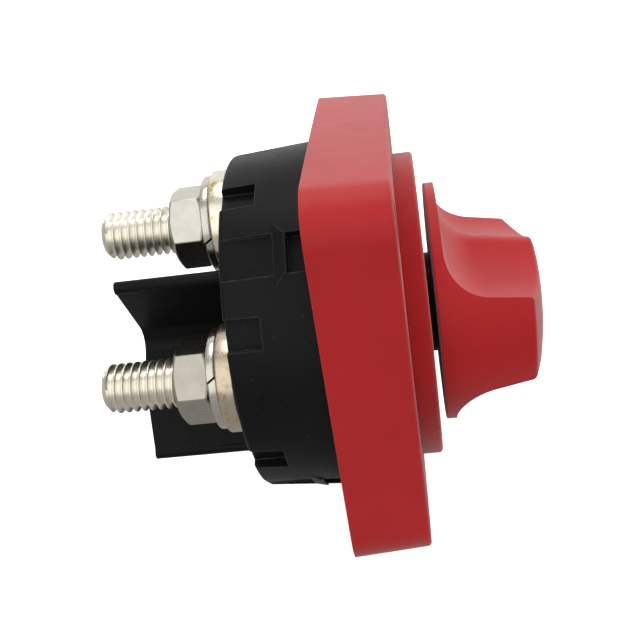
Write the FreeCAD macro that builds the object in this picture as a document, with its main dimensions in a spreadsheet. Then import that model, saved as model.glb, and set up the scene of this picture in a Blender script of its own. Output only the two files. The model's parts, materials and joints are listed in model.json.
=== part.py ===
import FreeCAD, Part
import Sketcher
import os

# Battery switch: a rotary disconnector that is fitted from the front of a panel.
# Each sub-part is drawn in the switch frame: X right and Y up as seen from the front,
# Z along the switch's axis towards the knob, Z = 0 at the panel's face.
# The whole part then stands upright with its knob towards -Y of the row frame.

DRIVING = [
    # the square surround and the round cover in it
    ("surround_side", 69.0, "side of the square at its corners"),
    ("surround_bow", 0.44, "how far each side swells out at its middle"),
    ("surround_thick", 13.6, ""),
    ("surround_draft", 3.2, "degrees that the sides lean in towards the front"),
    ("surround_corner", 7.6, "radius of the upright corners"),
    ("surround_wall", 2.4, "wall round the cored corners"),
    ("edge_round", 0.7, "small moulded edge radius"),
    ("overcut", 1.0, "how far a cutting outline runs past what it cuts"),
    ("screw_spacing", 54.0, "between the panel screws, both ways"),
    ("screw_hole_radius", 2.2, "clearance for an M4 screw"),
    ("boss_wall", 1.7, "wall round each screw hole"),
    ("screw_head_radius", 4.2, ""),
    ("screw_head_depth", 4.0, ""),
    ("cover_radius", 28.4, ""),
    ("cover_front", 17.33, "front face of the round cover"),
    ("cover_gap", 0.2, "joint between the cover and the surround"),
    ("flange_radius", 31.0, "flange that the surround holds down"),
    ("relief_gap", 0.6, "the surround's back face stays this far from the case"),
    ("relief_depth", 0.6, ""),
    ("flange_thick", 2.0, ""),
    ("roof_thick", 4.3, "front wall of the cover"),
    ("cavity_radius", 25.2, "space that the rotor turns in"),
    ("skirt_outer", 29.2, "skirt that reaches into the case"),
    ("skirt_wall", 2.0, ""),
    ("skirt_depth", 6.0, ""),
    # the round case behind the panel
    ("case_front_radius", 32.6, ""),
    ("case_rear_radius", 31.6, ""),
    ("case_depth", 15.5, ""),
    ("case_inside", 29.5, "radius of the mouth of the case"),
    ("case_lower_inside", 27.4, "radius below the ledge"),
    ("ledge_depth", 8.2, "ledge that the seal lies on"),
    ("floor_thick", 2.9, ""),
    ("rear_round", 0.8, "radius of the rear edge"),
    ("notch_width", 5.3, ""),
    ("notch_height", 6.1, ""),
    ("notch_floor", 29.8, "radius of the floor of a notch"),
    ("recess_width", 7.1, ""),
    ("recess_height", 9.2, ""),
    ("recess_sink", 0.4, ""),
    ("window_width", 7.0, "pocket in front of each catch"),
    ("window_height", 4.3, ""),
    ("window_floor", 30.2, "radius of the floor of a window"),
    ("catch_ramp", 1.8, "length of a catch's ramp, behind each window"),
    ("catch_land", 0.35, "length of its flat top"),
    ("catch_rise", 0.3, "how far it stands out"),
    ("catch_half", 6.4, "half its width at the top, degrees"),
    ("catch_foot", 10.0, "half its width where the ramp begins, degrees"),
    ("latch_half", 6.0, "half width of a latch inside the cover's skirt, degrees"),
    ("latch_depth", 3.9, "depth of a latch's rear face"),
    ("latch_height", 2.2, ""),
    ("latch_reach", 1.4, "how far a latch stands out of the case's inside"),
    ("latch_play", 0.2, ""),
    ("latch_side_play", 1.0, "degrees"),
    # the wall between the terminals
    ("divider_end", 41.0, "depth of the wall's free edge"),
    ("divider_thick", 1.9, ""),
    ("divider_x", -2.05, "start of the wall"),
    ("divider_y", 10.85, ""),
    ("divider_first_turn", -55.5, "direction of the first run, degrees"),
    ("divider_first_run", 14.2, ""),
    ("divider_first_bend", 5.4, ""),
    ("divider_second_turn", -135.0, ""),
    ("divider_second_run", 4.7, ""),
    ("divider_second_bend", 8.7, ""),
    ("divider_third_turn", -110.0, ""),
    ("divider_third_run", 12.5, ""),
    ("divider_bead", 1.25, ""),
    # terminals: 3/8 inch studs
    ("stud_radius", 4.7625, "3/8 inch"),
    ("stud_x", 10.65, "studs lie this far each side of the middle"),
    ("stud_upper_y", 16.65, ""),
    ("stud_lower_y", -6.05, ""),
    ("pitch_radius", 4.247, "pitch radius of the 3/8 inch 16 UNC thread"),
    ("stud_tip", 44.9, "depth of the stud's tip"),
    ("stud_chamfer", 0.9, ""),
    ("head_flats", 12.7, "hexagon head of the stud"),
    ("head_thick", 3.0, ""),
    ("head_gap", 0.1, ""),
    ("collar_wall", 2.6, "wall round the head of each stud"),
    ("collar_height", 2.0, ""),
    ("nut_flats", 14.29, "9/16 inch"),
    ("nut_flat_share", 0.96, "flat of each face of a nut, as a share of its width"),
    ("nut_outer", 29.85, "depth of the nut's outer face"),
    ("nut_inner", 23.1, ""),
    ("thread_gap", 0.04, "radial gap drawn between stud and nut"),
    ("thread_relief", 0.3, "the thread is drawn at its pitch radius this far past the nut"),
    ("spring_washer_radius", 9.5, ""),
    ("spring_washer_bore", 5.1, ""),
    ("spring_washer_inner", 21.2, "depth of its inner face"),
    ("spring_washer_slit", 1.2, ""),
    ("spring_washer_lean", 1.2, "slant of the slit, to each side"),
    ("flat_washer_radius", 10.27, ""),
    ("flat_washer_bore", 5.15, ""),
    ("flat_washer_inner", 18.0, ""),
    ("contact_washer_radius", 9.8, ""),
    ("washer_bevel", 0.25, ""),
    ("nut_turn_upper", -0.6, "how each nut happens to stand, degrees"),
    ("nut_turn_lower", -4.9, ""),
    ("slit_facing_upper", 265.0, "where the slit of each spring washer faces, degrees"),
    ("slit_facing_lower", 238.0, ""),
    ("seal_section", 0.9, "radius of a stud seal's section"),
    ("seal_seat_depth", 1.9, ""),
    ("seal_play", 0.01, ""),
    # rotor and knob
    ("rest_turn", -1.0, "the knob stands this far round at rest, degrees"),
    ("hub_radius", 9.4, ""),
    ("hub_gap", 0.05, "running clearance in the cover"),
    ("boss_radius", 12.5, ""),
    ("boss_end", 7.5, "inner end of the cover's bearing boss"),
    ("disc_radius", 24.6, ""),
    ("disc_back", 1.5, ""),
    ("disc_front", 6.5, ""),
    ("hub_groove_radius", 7.7, ""),
    ("hub_groove_back", 11.2, ""),
    ("hub_groove_front", 13.3, ""),
    ("post_side", 9.6, "square post that carries the bridge"),
    ("post_end", -8.9, ""),
    ("spigot_side", 10.0, "square that drives the knob"),
    ("spigot_end", 26.0, ""),
    ("fit_gap", 0.1, "gap each side of a square fit"),
    ("knob_back", 18.67, ""),
    ("knob_radius", 22.34, ""),
    ("knob_draft", 7.5, "degrees that the ends of the grip lean in towards the front"),
    ("knob_rim_round", 0.3, ""),
    ("knob_flange", 1.9, ""),
    ("knob_apex", 38.2, ""),
    ("knob_dome", 60.0, "radius of the domed front"),
    ("grip_end", 10.7, "half width of the grip at its ends, at its root"),
    ("grip_ridge", 13.9, "half width at the middle ridge, at its root"),
    ("grip_scoop", 29.0, "radius of a finger scoop"),
    ("grip_draft", 8.0, ""),
    ("grip_fillet", 8.0, ""),
    ("grip_ridge_round", 4.5, ""),
    ("knob_edge_round", 0.8, ""),
    ("socket_depth", 7.6, ""),
    ("screw_radius", 2.0, "M4 knob screw"),
    ("screw_gap", 0.1, ""),
    ("thread_fit", 0.02, "radial gap drawn round the knob screw's thread"),
    ("knob_screw_head", 3.4, ""),
    ("knob_screw_head_thick", 2.6, ""),
    ("knob_screw_tip", 29.5, ""),
    ("screw_bevel", 0.6, "bevel on the screw's head and tip"),
    # moving contact
    ("bridge_bottom", -7.7, ""),
    ("bridge_thick", 2.0, ""),
    ("bridge_hub", 8.6, ""),
    ("arm_half_width", 4.4, ""),
    ("tip_radius", 3.2, ""),
    ("tip_thick", 0.9, ""),
    ("contact_gap", 0.15, "drawn gap between closed contacts"),
    ("upper_arm", 19.77, "reach of the arm to the upper stud"),
    ("upper_angle", 57.4, ""),
    ("lower_arm", 12.25, ""),
    ("lower_angle", 209.6, ""),
    ("travel", 90.0, "degrees from off to on"),
    ("clip_radius", 7.9, ""),
    ("clip_thick", 0.8, ""),
    ("seat_thick", 1.0, ""),
    ("seat_radius", 9.3, ""),
    ("bridge_spring_radius", 7.7, "to the middle of the wire"),
    ("bridge_wire", 0.6, "radius of the wire"),
    ("bridge_spring_pitch", 1.9, ""),
    # detent and stops
    ("ball_radius", 2.0, ""),
    ("ball_place", 23.1, "distance of each ball from the axis"),
    ("ball_hole_radius", 2.1, ""),
    ("ball_hole_end", 15.0, ""),
    ("groove_radius", 2.4, ""),
    ("groove_sink", 0.8, ""),
    ("detent_spring_radius", 1.4, ""),
    ("detent_wire", 0.25, ""),
    ("stop_inner", 15.5, ""),
    ("stop_outer", 21.5, ""),
    ("stop_half_angle", 8.0, ""),
    ("stop_play", 1.0, "degrees of play at each stop"),
    ("rib_clearance", 1.0, "between the end of each stop rib and the rotor's disc"),
    ("case_seal_radius", 28.3, ""),
    ("case_seal_section", 1.0, ""),
]

doc = FreeCAD.newDocument("battery_switch")
sheet = doc.addObject("Spreadsheet::Sheet", "dims")
for row, (alias, number, note) in enumerate(DRIVING, start=1):
    sheet.set("A%d" % row, alias)
    sheet.set("B%d" % row, str(number))
    sheet.setAlias("B%d" % row, alias)
    if note:
        sheet.set("C%d" % row, note)
doc.recompute()

FRONT_TO_ROW = FreeCAD.Rotation(FreeCAD.Vector(1, 0, 0), 90)
FULL_TURN = 360.0
NEAR = 0.1  # tolerance when edges are picked by their place
parts = []


def amount(text):
    """Value of an expression that may use the sheet's cells."""
    found = sheet.evalExpression(text)
    return float(getattr(found, "Value", found))


def turned(reach, angle):
    """The point at a distance and an angle from the axis, as two expressions."""
    return ("(%s) * cos((%s) * 1 deg)" % (reach, angle), "(%s) * sin((%s) * 1 deg)" % (reach, angle))


def step(point, length, angle):
    """The point reached from another by a length along a direction."""
    east, north = turned(length, angle)
    return ("%s + %s" % (point[0], east), "%s + %s" % (point[1], north))


# ---------------------------------------------------------------- sketch helpers

def new_body(label):
    body = doc.addObject("PartDesign::Body", label)
    parts.append(body)
    return body


def origin_item(body, role):
    return [item for item in body.Origin.OriginFeatures if item.Role == role][0]


def sketch_on(body, name, role="XY_Plane", height="0"):
    """A sketch on one of the body's own origin planes, moved along the plane's normal."""
    sketch = body.newObject("Sketcher::SketchObject", body.Name + "_" + name)
    sketch.AttachmentSupport = [(origin_item(body, role), "")]
    sketch.MapMode = "FlatFace"
    if height != "0":
        sketch.setExpression("AttachmentOffset.Base.z", height)
    return sketch


def fix_point(sketch, shape, end, point):
    """Place one end of a shape at the point given by two expressions."""
    for kind, axis, text in (("DistanceX", -2, point[0]), ("DistanceY", -1, point[1])):
        if text == "0":
            sketch.addConstraint(Sketcher.Constraint("PointOnObject", shape, end, axis))
            continue
        link = Sketcher.Constraint(kind, -1, 1, shape, end, amount(text))
        sketch.setExpression("Constraints[%d]" % sketch.addConstraint(link), text)


def fix_radius(sketch, shape, text):
    link = Sketcher.Constraint("Radius", shape, amount(text))
    sketch.setExpression("Constraints[%d]" % sketch.addConstraint(link), text)


def circle(sketch, radius, point=("0", "0")):
    centre = FreeCAD.Vector(amount(point[0]), amount(point[1]), 0)
    shape = sketch.addGeometry(Part.Circle(centre, FreeCAD.Vector(0, 0, 1), amount(radius)), False)
    fix_point(sketch, shape, 3, point)
    fix_radius(sketch, shape, radius)


def outline(sketch, points, bends=None):
    """A closed outline. bends gives the radius of the arc that follows a point;
    a leading '-' makes the arc turn to the right of the way from point to point."""
    bends = bends or {}
    count = len(points)
    spots = [FreeCAD.Vector(amount(east), amount(north), 0) for east, north in points]
    ends = []
    for place, spot in enumerate(spots):
        goal = spots[(place + 1) % count]
        if place not in bends:
            shape = sketch.addGeometry(Part.LineSegment(spot, goal), False)
            ends.append((shape, 1, 2))
            continue
        text = bends[place].lstrip("-")
        radius = amount(text)
        chord = goal - spot
        side = FreeCAD.Vector(-chord.y, chord.x, 0).normalize()
        if bends[place].startswith("-"):
            side = side * -1
        reach = max(radius ** 2 - (chord.Length / 2) ** 2, 0.0) ** 0.5
        centre = spot + chord * 0.5 + side * reach
        middle = centre - side * radius
        curve = Part.Arc(spot, middle, goal)
        shape = sketch.addGeometry(curve, False)
        forward = sketch.getPoint(shape, 1).distanceToPoint(spot) < 1e-6
        ends.append((shape, 1, 2) if forward else (shape, 2, 1))
        fix_radius(sketch, shape, text)
    for place, (shape, start, end) in enumerate(ends):
        after, after_start, after_end = ends[(place + 1) % count]
        sketch.addConstraint(Sketcher.Constraint("Coincident", shape, end, after, after_start))
        fix_point(sketch, shape, start, points[place])


def box(sketch, west, south, east, north):
    outline(sketch, [(west, south), (east, south), (east, north), (west, north)])


def square(sketch, side):
    half = "(%s) / 2" % side
    box(sketch, "-" + half, "-" + half, half, half)


def hexagon(sketch, flats, angle, middle=("0", "0")):
    corner = "(%s) / sqrt(3)" % flats
    points = [step(middle, corner, "%s + %d" % (angle, 60 * turn)) for turn in range(6)]
    outline(sketch, points)


def sector(sketch, inner, outer, start, end):
    """A piece of a ring between two directions."""
    corners = [turned(inner, start), turned(outer, start), turned(outer, end), turned(inner, end)]
    outline(sketch, corners, {1: outer, 3: "-" + inner})


# --------------------------------------------------------------- feature helpers

def feature(body, kind, name, sketch):
    made = body.newObject("PartDesign::" + kind, body.Name + "_" + name)
    made.Profile = sketch
    sketch.Visibility = False
    return made


def check_change(body, made, sign):
    """Recompute and stop if a feature did not add or remove material as it should."""
    before = made.BaseFeature.Shape.Volume if made.BaseFeature else 0.0
    doc.recompute()
    if (made.Shape.Volume - before) * sign <= 1e-4:
        raise RuntimeError("%s changes nothing in %s" % (made.Name, body.Name))
    return made


def pad(body, name, sketch, length, down=False, taper=None):
    made = feature(body, "Pad", name, sketch)
    made.setExpression("Length", length)
    made.Reversed = down
    if taper:
        made.setExpression("TaperAngle", taper)
    return check_change(body, made, 1)


def pocket(body, name, sketch, length, up=False, taper=None):
    made = feature(body, "Pocket", name, sketch)
    made.setExpression("Length", length)
    made.Reversed = up
    if taper:
        made.setExpression("TaperAngle", taper)
    return check_change(body, made, -1)


def revolve(body, name, points, bends=None, cut=False):
    """Turn a half section, given as distance and height, about the body's own Z axis."""
    sketch = sketch_on(body, name + "_section", "XZ_Plane")
    outline(sketch, points, bends)
    made = feature(body, "Groove" if cut else "Revolution", name, sketch)
    made.ReferenceAxis = (sketch, ["V_Axis"])
    made.Angle = FULL_TURN
    return check_change(body, made, -1 if cut else 1)


def repeat(body, made, count):
    """Repeat a feature evenly round the body's axis."""
    pattern = body.newObject("PartDesign::PolarPattern", made.Name + "_round")
    pattern.Originals = [made]
    pattern.Axis = (origin_item(body, "Z_Axis"), [""])
    pattern.Angle = FULL_TURN
    pattern.Occurrences = count
    body.Tip = pattern
    doc.recompute()
    return pattern


def soften(body, name, radius, choose, kind="Fillet"):
    """Round or chamfer the edges of the body's last feature that choose() picks."""
    base = body.Tip
    names = ["Edge%d" % (i + 1) for i, edge in enumerate(base.Shape.Edges) if choose(edge)]
    if not names:
        raise RuntimeError("%s finds no edge in %s" % (name, body.Name))
    made = body.newObject("PartDesign::" + kind, body.Name + "_" + name)
    made.Base = (base, names)
    made.setExpression("Radius" if kind == "Fillet" else "Size", radius)
    body.Tip = made
    doc.recompute()
    return made


def level(edge, height, tolerance=1e-3):
    """True when every point of the edge has this height."""
    bounds = edge.BoundBox
    return abs(bounds.ZMin - height) < tolerance and abs(bounds.ZMax - height) < tolerance


def is_round(edge, radius, tolerance=1e-3):
    curve = edge.Curve
    return isinstance(curve, Part.Circle) and abs(curve.Radius - radius) < tolerance


def set_in_place(body, point=("0", "0"), turn=None):
    """Move a sub-part from the switch frame to the row frame."""
    where = FreeCAD.Placement(FreeCAD.Vector(0, 0, 0), FRONT_TO_ROW)
    if turn:
        spin = FreeCAD.Rotation(FreeCAD.Vector(0, 0, 1), amount(turn))
        where = where.multiply(FreeCAD.Placement(FreeCAD.Vector(0, 0, 0), spin))
    shift = FreeCAD.Vector(amount(point[0]), amount(point[1]), 0)
    body.Placement = where.multiply(FreeCAD.Placement(shift, FreeCAD.Rotation()))


UPPER = ("dims.stud_x", "dims.stud_upper_y")
LOWER = ("-dims.stud_x", "dims.stud_lower_y")
ON_AXIS = ("0", "0")
SIDES = (("upper", UPPER), ("lower", LOWER))


# ------------------------------------------------------------------- fixed shell

def make_surround():
    """Square frame plate with a round opening, cored corners and four screw holes."""
    body = new_body("surround")
    half = "dims.surround_side / 2"
    swell = "(dims.surround_side ^ 2 / (8 * dims.surround_bow) + dims.surround_bow / 2)"
    plate = sketch_on(body, "plate_outline")
    corners = [("-" + half, "-" + half), (half, "-" + half), (half, half), ("-" + half, half)]
    outline(plate, corners, {side: swell for side in range(4)})
    pad(body, "plate", plate, "dims.surround_thick", taper="-dims.surround_draft")
    thick = amount("dims.surround_thick")
    soften(body, "corners", "dims.surround_corner",
           lambda edge: edge.BoundBox.ZMax - edge.BoundBox.ZMin > thick - NEAR)
    soften(body, "front_edge", "dims.edge_round", lambda edge: level(edge, thick))
    opening = sketch_on(body, "opening_outline", height="dims.surround_thick")
    circle(opening, "dims.cover_radius + dims.cover_gap")
    pocket(body, "opening", opening, "dims.surround_thick")
    seat = sketch_on(body, "seat_outline")
    circle(seat, "dims.flange_radius + dims.cover_gap")
    pocket(body, "seat", seat, "dims.flange_thick + dims.fit_gap", up=True)
    relief = sketch_on(body, "relief_outline")
    circle(relief, "dims.case_front_radius + dims.relief_gap")
    pocket(body, "relief", relief, "dims.relief_depth", up=True)
    # cored corner round a screw boss
    inset = "(dims.surround_side / 2 - dims.surround_wall)"
    ring = "(dims.case_front_radius + 2 * dims.relief_gap)"
    meet = "sqrt(%s ^ 2 - %s ^ 2)" % (ring, inset)
    bend = "(dims.surround_corner - dims.surround_wall)"
    core = sketch_on(body, "core_outline")
    outline(core, [(inset, meet), (inset, inset + " - " + bend), (inset + " - " + bend, inset),
                   (meet, inset)], {1: bend, 3: "-" + ring})
    screw = "dims.screw_spacing / 2"
    circle(core, "dims.screw_hole_radius + dims.boss_wall", (screw, screw))
    depth = "dims.surround_thick - dims.screw_head_depth - dims.surround_wall"
    repeat(body, pocket(body, "core", core, depth, up=True), 4)
    head = sketch_on(body, "screw_head_outline", height="dims.surround_thick")
    circle(head, "dims.screw_head_radius", (screw, screw))
    repeat(body, pocket(body, "screw_head", head, "dims.screw_head_depth"), 4)
    hole = sketch_on(body, "screw_hole_outline", height="dims.surround_thick")
    circle(hole, "dims.screw_hole_radius", (screw, screw))
    repeat(body, pocket(body, "screw_hole", hole, "dims.surround_thick"), 4)
    set_in_place(body)


def make_front_cover():
    """Round cover with a bearing boss, a skirt with four latches, and the rotor's stops."""
    body = new_body("front_cover")
    bore = "dims.hub_radius + dims.hub_gap"
    roof = "dims.cover_front - dims.roof_thick"
    skirt_inner = "dims.skirt_outer - dims.skirt_wall"
    step_height = "dims.flange_thick / 2"
    revolve(body, "shell", [
        (bore, "dims.boss_end"), (bore, "dims.cover_front"), ("dims.cover_radius", "dims.cover_front"),
        ("dims.cover_radius", "dims.flange_thick"), ("dims.flange_radius", "dims.flange_thick"),
        ("dims.flange_radius", "0"), ("dims.skirt_outer", "0"), ("dims.skirt_outer", "-dims.skirt_depth"),
        (skirt_inner, "-dims.skirt_depth"), (skirt_inner, step_height), ("dims.cavity_radius", step_height),
        ("dims.cavity_radius", roof), ("dims.boss_radius", roof), ("dims.boss_radius", "dims.boss_end")])
    front = amount("dims.cover_front")
    outer = amount("dims.cover_radius")
    soften(body, "front_edge", "dims.edge_round",
           lambda edge: level(edge, front) and is_round(edge, outer))
    for place in range(4):
        groove = sketch_on(body, "groove_outline_%d" % place, height="dims.disc_front + dims.overcut")
        middle = "dims.cavity_radius + dims.groove_sink - dims.groove_radius"
        circle(groove, "dims.groove_radius", turned(middle, "%d" % (90 * place)))
        pocket(body, "groove_%d" % place, groove, "dims.disc_front")
    # the rotor's lug stands at -90 degrees when off and swings to -180 degrees
    clear = "dims.stop_half_angle + dims.stop_play"
    stops = (("off", "-90 + %s" % clear, 1), ("on", "-90 - dims.travel - (%s)" % clear, -1))
    for name, near, way in stops:
        rib = sketch_on(body, "stop_outline_" + name, height=roof)
        far = "%s + %d * dims.stop_half_angle" % (near, way)
        first, last = (near, far) if way > 0 else (far, near)
        sector(rib, "dims.stop_inner", "dims.stop_outer", first, last)
        pad(body, "stop_" + name, rib, roof + " - dims.disc_front - dims.rib_clearance", down=True)
    latch = sketch_on(body, "latch_outline", height="-dims.latch_depth")
    sector(latch, "dims.skirt_outer - dims.skirt_wall / 2", "dims.case_inside + dims.latch_reach",
           "-dims.latch_half", "dims.latch_half")
    repeat(body, pad(body, "latch", latch, "dims.latch_height"), 4)
    set_in_place(body)


def make_rear_case():
    """Round cup with rim notches, latch windows, stud pockets and the wall between the studs."""
    body = new_body("rear_case")
    rear = "-dims.case_depth"
    floor = "-dims.case_depth + dims.floor_thick"
    revolve(body, "cup", [
        ("0", rear), ("dims.case_rear_radius", rear), ("dims.case_front_radius", "0"),
        ("dims.case_inside", "0"), ("dims.case_inside", "-dims.ledge_depth"),
        ("dims.case_lower_inside", "-dims.ledge_depth"), ("dims.case_lower_inside", floor), ("0", floor)])
    low = amount(rear)
    rim = amount("dims.case_rear_radius")
    soften(body, "rear_edge", "dims.rear_round", lambda edge: level(edge, low) and is_round(edge, rim))
    beyond = "dims.case_front_radius + dims.overcut"
    eighth = FULL_TURN / 8
    for place in range(8):
        notch = sketch_on(body, "notch_outline_%d" % place, height=rear)
        radial_box(notch, "dims.notch_floor", beyond, "dims.notch_width", eighth * (place + 0.5))
        pocket(body, "notch_%d" % place, notch, "dims.notch_height", up=True)
    for place in range(4):
        facing = 45 + 90 * place
        recess = sketch_on(body, "recess_outline_%d" % place, height=rear)
        inner = "dims.case_rear_radius - dims.recess_sink"
        radial_box(recess, inner, beyond, "dims.recess_width", facing)
        pocket(body, "recess_%d" % place, recess, "dims.recess_height", up=True)
        window = sketch_on(body, "window_outline_%d" % place)
        radial_box(window, "dims.window_floor", beyond, "dims.window_width", facing)
        pocket(body, "window_%d" % place, window, "dims.window_height")
        add_catch(body, place, facing)
    nest = sketch_on(body, "latch_pocket_outline", height="-dims.latch_depth - dims.latch_play")
    side = "dims.latch_half + dims.latch_side_play"
    sector(nest, "dims.case_inside - dims.overcut", "dims.case_inside + dims.latch_reach + dims.latch_play",
           "-(%s)" % side, side)
    repeat(body, pocket(body, "latch_pocket", nest, "dims.latch_height + 2 * dims.latch_play", up=True), 4)
    for name, spot in SIDES:
        collar = sketch_on(body, "collar_outline_" + name, height=floor)
        circle(collar, "dims.head_flats / 2 + dims.collar_wall", spot)
        pad(body, "collar_" + name, collar, "dims.collar_height")
        nest = sketch_on(body, "nest_outline_" + name, height=floor + " + dims.head_thick")
        hexagon(nest, "dims.head_flats + 2 * dims.head_gap", "30", spot)
        pocket(body, "nest_" + name, nest, "dims.head_thick")
        hole = sketch_on(body, "hole_outline_" + name, height=floor)
        circle(hole, "dims.stud_radius + dims.head_gap", spot)
        pocket(body, "hole_" + name, hole, "dims.floor_thick")
        seat = sketch_on(body, "seal_seat_outline_" + name, height=rear)
        circle(seat, "dims.stud_radius + 2 * dims.seal_section + dims.head_gap", spot)
        pocket(body, "seal_seat_" + name, seat, "dims.seal_seat_depth", up=True)
    add_divider(body)
    set_in_place(body)


def add_catch(body, place, facing):
    """Ramp behind a window that rises out of the case and ends in a short flat top."""
    top = "-dims.window_height - dims.catch_land"
    foot = top + " - dims.catch_ramp"
    slope = "((dims.case_front_radius - dims.case_rear_radius) / dims.case_depth)"
    sections = []
    for name, height, rise, half in (("foot", foot, "0", "dims.catch_foot"),
                                     ("top", top, "dims.catch_rise", "dims.catch_half")):
        section = sketch_on(body, "catch_%s_%d" % (name, place), height=height)
        outer = "dims.case_front_radius + %s * (%s) + %s" % (slope, height, rise)
        sector(section, "dims.window_floor", outer, "%s - %s" % (facing, half), "%s + %s" % (facing, half))
        sections.append(section)
    ramp = feature(body, "AdditiveLoft", "catch_ramp_%d" % place, sections[0])
    ramp.Sections = [sections[1]]
    ramp.Ruled = True
    check_change(body, ramp, 1)
    land = sketch_on(body, "catch_land_%d" % place, height=top)
    outer = "dims.case_front_radius + %s * (%s) + dims.catch_rise" % (slope, top)
    sector(land, "dims.window_floor", outer, "%s - dims.catch_half" % facing, "%s + dims.catch_half" % facing)
    pad(body, "catch_land_%d" % place, land, "dims.catch_land")


def radial_box(sketch, inner, outer, width, facing):
    """A rectangle that points away from the axis."""
    half = "(%s) / 2" % width
    corners = []
    for reach, side in ((inner, -1), (outer, -1), (outer, 1), (inner, 1)):
        corners.append(step(turned(reach, facing), half, "%s + %d" % (facing, 90 * side)))
    outline(sketch, corners)


def add_divider(body):
    """S-shaped insulating wall between the studs, with a bead along each end."""
    start = ("dims.divider_x", "dims.divider_y")
    first, second, third = ("dims.divider_%s_turn" % word for word in ("first", "second", "third"))
    right_bend, left_bend = "dims.divider_first_bend", "dims.divider_second_bend"
    half = "dims.divider_thick / 2"
    run_end = step(start, "dims.divider_first_run", first)
    right_centre = step(run_end, right_bend, first + " - 90")
    bend_end = step(right_centre, right_bend, second + " + 90")
    left_start = step(bend_end, "dims.divider_second_run", second)
    left_centre = step(left_start, left_bend, second + " + 90")
    left_end = step(left_centre, left_bend, third + " - 90")
    end = step(left_end, "dims.divider_third_run", third)
    way = ((start, first), (run_end, first), (bend_end, second),
           (left_start, second), (left_end, third), (end, third))
    left = [step(point, half, heading + " + 90") for point, heading in way]
    right = [step(point, half, heading + " - 90") for point, heading in way]
    wall = sketch_on(body, "divider_outline", height="-dims.case_depth")
    bends = {1: "-(%s + %s)" % (right_bend, half), 3: "%s - %s" % (left_bend, half),
             7: "-(%s + %s)" % (left_bend, half), 9: "%s - %s" % (right_bend, half)}
    outline(wall, left + right[::-1], bends)
    length = "dims.divider_end - dims.case_depth"
    pad(body, "divider", wall, length, down=True)
    for name, point in (("near", start), ("far", end)):
        bead = sketch_on(body, "bead_outline_" + name, height="-dims.case_depth")
        circle(bead, "dims.divider_bead", point)
        pad(body, "bead_" + name, bead, length, down=True)


def make_case_seal():
    ring("case_seal", "dims.case_seal_radius", "dims.case_seal_section",
         "-dims.ledge_depth + dims.case_seal_section + dims.fit_gap", ON_AXIS)


def ring(label, radius, section, height, spot, turn=None):
    """A round rubber ring."""
    body = new_body(label)
    add_ring(body, "ring", radius, section, height)
    set_in_place(body, spot, turn)
    return body


def add_ring(body, name, radius, section, height):
    sketch = sketch_on(body, name + "_section", "XZ_Plane")
    circle(sketch, section, (radius, height))
    made = feature(body, "Revolution", name, sketch)
    made.ReferenceAxis = (sketch, ["V_Axis"])
    made.Angle = FULL_TURN
    return check_change(body, made, 1)


# --------------------------------------------------------------------- terminals

def make_stud(name, spot):
    """Stud with a hexagon head. The thread is drawn as its outside cylinder, and at its
    pitch radius where the nut holds it."""
    body = new_body("terminal_stud_" + name)
    head = sketch_on(body, "head_outline", height="-dims.case_depth + dims.floor_thick")
    hexagon(head, "dims.head_flats", "30")
    pad(body, "head", head, "dims.head_thick")
    under = "-dims.nut_inner + dims.thread_relief"
    past = "-dims.nut_outer - dims.thread_relief"
    top = "-dims.case_depth + dims.floor_thick"
    revolve(body, "shank", [
        ("0", top), ("dims.stud_radius", top), ("dims.stud_radius", under), ("dims.pitch_radius", under),
        ("dims.pitch_radius", past), ("dims.stud_radius", past),
        ("dims.stud_radius", "-dims.stud_tip + dims.stud_chamfer"),
        ("dims.stud_radius - dims.stud_chamfer", "-dims.stud_tip"), ("0", "-dims.stud_tip")])
    set_in_place(body, spot)


def make_nut(name, spot, angle):
    """Hexagon nut with its corners chamfered at both faces."""
    body = new_body("terminal_nut_" + name)
    shape = sketch_on(body, "hexagon", height="-dims.nut_outer")
    hexagon(shape, "dims.nut_flats", angle)
    pad(body, "blank", shape, "dims.nut_outer - dims.nut_inner")
    for face, height, way in (("outer", "-dims.nut_outer", 1), ("inner", "-dims.nut_inner", -1)):
        flat = "dims.nut_flats / 2 * dims.nut_flat_share"
        far = "dims.nut_flats"
        slope = "%s + %d * (%s - %s) * tan(30 deg)" % (height, way, far, flat)
        revolve(body, face + "_chamfer", [(flat, height), (far, height), (far, slope)], cut=True)
    hole = sketch_on(body, "hole", height="-dims.nut_inner")
    circle(hole, "dims.pitch_radius + dims.thread_gap")
    pocket(body, "thread_hole", hole, "dims.nut_outer - dims.nut_inner")
    set_in_place(body, spot)


def make_washer(label, spot, radius, bore, outer, inner, edge):
    """Plain washer between two depths."""
    body = new_body(label)
    revolve(body, "washer", [
        (bore, "-" + outer), (radius + " - " + edge, "-" + outer), (radius, "-%s + %s" % (outer, edge)),
        (radius, "-" + inner), (bore, "-" + inner)])
    set_in_place(body, spot)


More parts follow.
